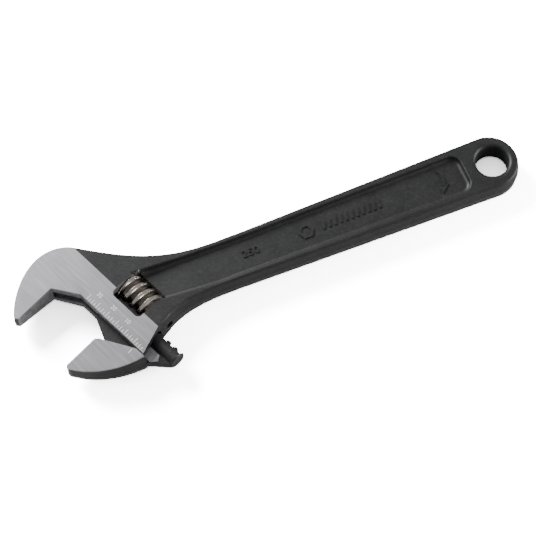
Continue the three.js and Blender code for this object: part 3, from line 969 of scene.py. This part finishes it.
def ground_steel():
    material, tree, place = new_material("ground_steel")
    lines = streaks(tree, place, 14, 0.25, 3.0)
    broad = streaks(tree, place, 30, 1.3, 2.0)
    clouds = node(tree, "TexNoise", {"Vector": place, "Scale": PER_MM / 12, "Detail": 3.0, "Roughness": 0.55})
    tone = node(tree, "MapRange", [lines, 0.3, 0.7])
    colour = node(tree, "Mix", {0: tone, 6: "#908f94", 7: "#a9a7ad"}, 2, data_type="RGBA")
    bands = node(tree, "MapRange", [broad, 0.35, 0.65, 0.0, 0.45])
    colour = node(tree, "Mix", {0: bands, 6: colour, 7: "#86868a"}, 2, data_type="RGBA")
    warmth = node(tree, "MapRange", [clouds, 0.35, 0.65, 0.0, 0.35])
    colour = node(tree, "Mix", {0: warmth, 6: colour, 7: "#a3a19f"}, 2, data_type="RGBA")
    rough = node(tree, "MapRange", [lines, 0.25, 0.75, 0.36, 0.5])
    normal = node(tree, "Bump", {"Height": lines, "Distance": 0.004 * MM, "Strength": 0.6})
    return finish_material(material, tree, colour, rough, normal, 1.0)


def milled_steel():
    """Bare steel left by a milling cutter: darker and duller than the ground cheeks, with feed marks."""
    material, tree, place = new_material("milled_steel")
    feed = streaks(tree, place, 0.5, 6, 2.0)
    stain = node(tree, "TexNoise", {"Vector": place, "Scale": PER_MM / 3.5, "Detail": 4.0, "Roughness": 0.55})
    tone = node(tree, "MapRange", [feed, 0.3, 0.7])
    colour = node(tree, "Mix", {0: tone, 6: "#98989a", 7: "#b2b2b4"}, 2, data_type="RGBA")
    stained = node(tree, "MapRange", [stain, 0.45, 0.75, 0.0, 0.6])
    colour = node(tree, "Mix", {0: stained, 6: colour, 7: "#77777a"}, 2, data_type="RGBA")
    rough = node(tree, "MapRange", [feed, 0.3, 0.7, 0.38, 0.52])
    normal = node(tree, "Bump", {"Height": feed, "Distance": 0.01 * MM, "Strength": 0.5})
    return finish_material(material, tree, colour, rough, normal, 0.85)


GROUND, MILLED = ground_steel(), milled_steel()

# %% [markdown]
# ## Turned steel, blued pin, spring wire and etched lines
#
# The worm is turned and rubbed bright by the thumb, and its thread's grooves are painted darker, as
# painted shade. How deep a point lies in the thread is stored on the mesh as an attribute, which the
# material reads, so that the painted shade stays in the grooves however the worm turns.
#
# The pin is blued, a thin dark gloss. The spring is drawn wire, smooth and mid grey. The etched
# lines scatter light from their rough bottoms, so they show paler than the mirror-like cheek.

# %% The small finishes
def bright_worm():
    material, tree, place = new_material("turned_worm_steel")
    depth = node(tree, "Attribute", {}, "Fac", attribute_name="thread_depth")
    grain = node(tree, "TexNoise", {"Vector": place, "Scale": PER_MM / 0.8, "Detail": 3.0, "Roughness": 0.55})
    # painted shade: the deeper a point lies in the thread, the more it turns to the dark #4a423c and the rougher
    # it gets
    painted_groove_shade = node(tree, "MapRange", [depth, 0.2, 1.0, 0.0, 0.8])
    tone = node(tree, "MapRange", [grain, 0.3, 0.7])
    colour = node(tree, "Mix", {0: tone, 6: "#c9c2b8", 7: "#e2dcd3"}, 2, data_type="RGBA")
    colour = node(tree, "Mix", {0: painted_groove_shade, 6: colour, 7: "#4a423c"}, 2, data_type="RGBA")
    rough = node(tree, "MapRange", [painted_groove_shade, 0.0, 1.0, 0.2, 0.42])
    normal = node(tree, "Bump", {"Height": grain, "Distance": 0.006 * MM, "Strength": 0.4})
    return finish_material(material, tree, colour, rough, normal, 1.0)


def plain_metal(name, dark, light, rough_low, rough_high, metallic, grain_mm=0.6):
    """A metal whose colour and roughness both drift between two values with a fine grain."""
    material, tree, place = new_material(name)
    scale = PER_MM / grain_mm
    grain = node(tree, "TexNoise", {"Vector": place, "Scale": scale, "Detail": 3.0, "Roughness": 0.55})
    tone = node(tree, "MapRange", [grain, 0.3, 0.7])
    colour = node(tree, "Mix", {0: tone, 6: dark, 7: light}, 2, data_type="RGBA")
    rough = node(tree, "MapRange", [grain, 0.3, 0.7, rough_low, rough_high])
    normal = node(tree, "Bump", {"Height": grain, "Distance": 0.004 * MM, "Strength": 0.4})
    return finish_material(material, tree, colour, rough, normal, metallic)


WORM_STEEL = bright_worm()
PIN_STEEL = plain_metal("blackened_pin_steel", "#2e2e30", "#454547", 0.3, 0.45, 0.6)
WIRE_STEEL = plain_metal("spring_wire", "#8c8c8e", "#a9a9ab", 0.22, 0.34, 1.0, 0.3)
ETCHED = plain_metal("etched_line", "#dededc", "#f6f6f4", 0.5, 0.65, 0.0, 0.4)

# %% [markdown]
# ## Which face gets which finish
#
# A mesh knows where each face lies and which way it looks. That is enough to tell a ground cheek
# from a forged wall: arrays of face middles and normals go in, and an array of material numbers
# comes out.

# %% Paint faces by where they lie
FORGED_FACE, GROUND_FACE, MILLED_FACE = 0, 1, 2
SHARP = float(np.radians(28))  # edges bent more than this stay crisp


def face_arrays(mesh):
    """Middle, in millimetres from the worm, and normal of each face, and the middle's reach and slide."""
    middle = (vectors(mesh.polygons, "center") - WORM) / MM
    return middle, vectors(mesh.polygons, "normal"), reach_of(middle[:, :2]), slide_of(middle[:, :2])


def paint(piece, materials, numbers):
    """Gives the piece its materials and each face its number, and splits the shading where they meet."""
    mesh = piece.data
    mesh.materials.clear()
    for material in materials:
        mesh.materials.append(material)
    mesh.polygons.foreach_set("material_index", numbers.astype(np.int32))
    work = bmesh.new()
    work.from_mesh(mesh)
    for edge in work.edges:
        kinds = {face.material_index for face in edge.link_faces}
        edge.smooth = len(kinds) == 1 and edge.calc_face_angle(0) < SHARP
    for face in work.faces:
        face.smooth = True
    work.to_mesh(mesh)
    work.free()
    weighted = piece.modifiers.new("weighted_normals", "WEIGHTED_NORMAL")
    weighted.keep_sharp = True


def cheek(middle, normal):
    """Faces of the ground cheeks with their small edges: past the ridge and close under the top."""
    plan, height = middle[:, :2], np.abs(middle[:, 2])
    return (reach_of(plan) > RIDGE) & (height > top_height(plan) - 0.45) & (np.abs(normal[:, 2]) > 0.2)


middle, normal, reach, slide = face_arrays(body.data)
height, upright = np.abs(middle[:, 2]), np.abs(normal[:, 2]) < 0.9
throat_wall = upright & (reach > THROAT - 0.4) & (slide > -FIXED_FACE - 0.4)
in_window = (reach > -WINDOW_INNER - 0.1) & (reach < SHANK_REACH + 0.1) & (np.abs(slide) < WINDOW_HALF + 0.1)
slot_wall = (height < slot_half + 0.02) & (reach > 5) & ~upright
milled = throat_wall | (in_window & upright) | slot_wall
numbers = np.where(cheek(middle, normal), GROUND_FACE, np.where(milled, MILLED_FACE, FORGED_FACE))
paint(body, [BLACK, GROUND, MILLED], numbers)

middle, normal, reach, slide = face_arrays(jaw.data)
height = np.abs(middle[:, 2])
on_land = (height > WEB_HALF - 0.13) & (height < WEB_HALF + 0.01)
on_land &= (reach > 14.6) & (reach < THROAT - 0.2)
face_wall = (np.abs(normal[:, 2]) < 0.9) & (reach > SLOPE_END) & (slide < FACE + 1.0)
jaw_cheek = cheek(middle, normal) & (reach > SHOULDER - 0.05)
numbers = np.where(jaw_cheek, GROUND_FACE, np.where(face_wall | on_land, MILLED_FACE, FORGED_FACE))
paint(jaw, [BLACK, GROUND, MILLED], numbers)

for piece, material in ((worm, WORM_STEEL), (pin, PIN_STEEL), (spring, WIRE_STEEL),
                        (panel_marks, BLACK), (scale, ETCHED), (index, ETCHED)):
    paint(piece, [material], np.zeros(len(piece.data.polygons)))

# %% [markdown]
# A point's depth in the thread is the crest's radius less its own distance from the axis, as a part
# of the full depth: 0 on the crest and 1 at the root.

# %% Store the thread's depth on the worm
places = (vectors(worm.data.vertices, "co") - WORM) / MM
from_axis = np.hypot(reach_of(places[:, :2]), places[:, 2])
thread_depth = worm.data.attributes.new("thread_depth", "FLOAT", "POINT")
thread_depth.data.foreach_set("value", ((WORM_RADIUS - from_axis) / THREAD_DEPTH).astype(np.float32))
print("worm radius from", round(float(from_axis.min()), 2), "to", round(float(from_axis.max()), 2), "mm")

# %% [markdown]
# ## Riding on the frame
#
# Each piece rides on the CAD body that it belongs to, and stands for the CAD node whose place it
# fills, which is hidden. Each is listed with a slot of the record, which nothing here reads.

# %% Ride and replace
HANDLE, SLIDING_JAW, WORM_BODY = "handle_and_fixed_jaw", "sliding_jaw", "adjusting_worm"
for piece, rides_on, slot_name, node_name in (
    (body, HANDLE, "black_forging", "wrench_body"),
    (panel_marks, HANDLE, "black_forging", None),
    (scale, HANDLE, "jaw_steel", None),
    (pin, HANDLE, "dark_pin", "worm_pin"),
    (spring, HANDLE, "spring_wire", "worm_spring"),
    (jaw, SLIDING_JAW, "jaw_steel", "movable_jaw"),
    (index, SLIDING_JAW, "jaw_steel", None),
    (worm, WORM_BODY, "bright_worm", "worm"),
):
    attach(piece, rides_on)
    if node_name:
        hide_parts(node_name)
    print(piece.name, "rides on", rides_on, "and replaces", node_name or "nothing")

# %% [markdown]
# ## Floor, light and camera
#
# The tool lies on a white table. It touches at the ridge of the head and at the tail, so the table
# slopes by the small difference in thickness. To the camera the table is overexposed white paper,
# while it bounces only plain light back at the tool: the shader looks at what kind of ray asks.

# %% Floor
def white_table():
    material, tree, _ = new_material("white_table")
    ray = node(tree, "LightPath", {}, "Is Camera Ray")
    plain, paper = (node(tree, "BsdfDiffuse", {"Color": (grey, grey, grey, 1)}) for grey in (0.8, 14.0))
    node(tree, "OutputMaterial", {"Surface": node(tree, "MixShader", [ray, plain, paper])})
    return material


def table(half=4.0, ridge_x=-66.5 * MM):
    """A flat sheet through the head's ridge at z = 0 and through the underside of the tail."""
    rise = (HEAD_HALF - HANDLE_HALF) * MM / (mounts["hang_hole"]["pos_m"][0] - ridge_x)
    corners = np.array([[-half, -half], [half, -half], [half, half], [-half, half]])
    height = (corners[:, 0] - ridge_x) * rise - 0.0001
    print("table rises", round(rise / MM, 1), "mm per metre towards the tail")
    mesh = bpy.data.meshes.new("table")
    mesh.from_pydata(np.column_stack([corners, height]), [], [(0, 1, 2, 3)])
    mesh.materials.append(white_table())
    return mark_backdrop(new_object("table", mesh))


table()

# %% [markdown]
# The big softbox stands behind the tool and to its left, so the panel's far wall falls into shade
# and the rails catch the light. A small one at the tail's side brightens the curve of the neck.

# %% Light
world = bpy.data.worlds.new("studio")
bpy.context.scene.world = world
world.use_nodes = True
sky = world.node_tree.nodes["Background"].inputs
sky["Color"].default_value = (1, 1, 1, 1)
sky["Strength"].default_value = 0.34


def softbox(name, place, size, power):
    """A square area light at a place in metres, turned to look at the middle of the tool."""
    lamp = bpy.data.lights.new(name, "AREA")
    lamp.shape, lamp.size, lamp.energy = "SQUARE", size, power
    made = new_object(name, lamp)
    made.location = place
    made.rotation_euler = (-Vector(place)).to_track_quat("-Z", "Y").to_euler()


softbox("key_softbox", (-0.34, 0.8, 0.52), 0.5, 22.0)
softbox("fill_softbox", (0.85, -0.35, 0.3), 0.45, 12.0)
print("lights", [lamp.name for lamp in bpy.data.lights])

# %% [markdown]
# The camera looks down from the front with a long lens. Its three axes come from the azimuth and
# the elevation, and a small roll turns two of them about the third.

# %% Camera
AZIMUTH, ELEVATION, ROLL = np.radians([-19.284, 64.062, -3.333])
DISTANCE = 0.9496
flat = np.cos(ELEVATION)
back = np.array([np.sin(AZIMUTH) * flat, -np.cos(AZIMUTH) * flat, np.sin(ELEVATION)])
right = np.array([np.cos(AZIMUTH), np.sin(AZIMUTH), 0])
up = np.cross(back, right)
rolled_right = right * np.cos(ROLL) + up * np.sin(ROLL)
rolled_up = up * np.cos(ROLL) - right * np.sin(ROLL)
target = WORM + np.array([60.97, -8.35, 0]) * MM
lens = bpy.data.cameras.new("camera")
lens.lens, lens.sensor_width = 134.33, 36
camera = new_object("camera", lens)
placed = np.eye(4)
placed[:3] = np.column_stack([rolled_right, rolled_up, back, target + back * DISTANCE])
camera.matrix_world = Matrix(placed)
bpy.context.scene.camera = camera
print("camera at", np.round(camera.location, 3))
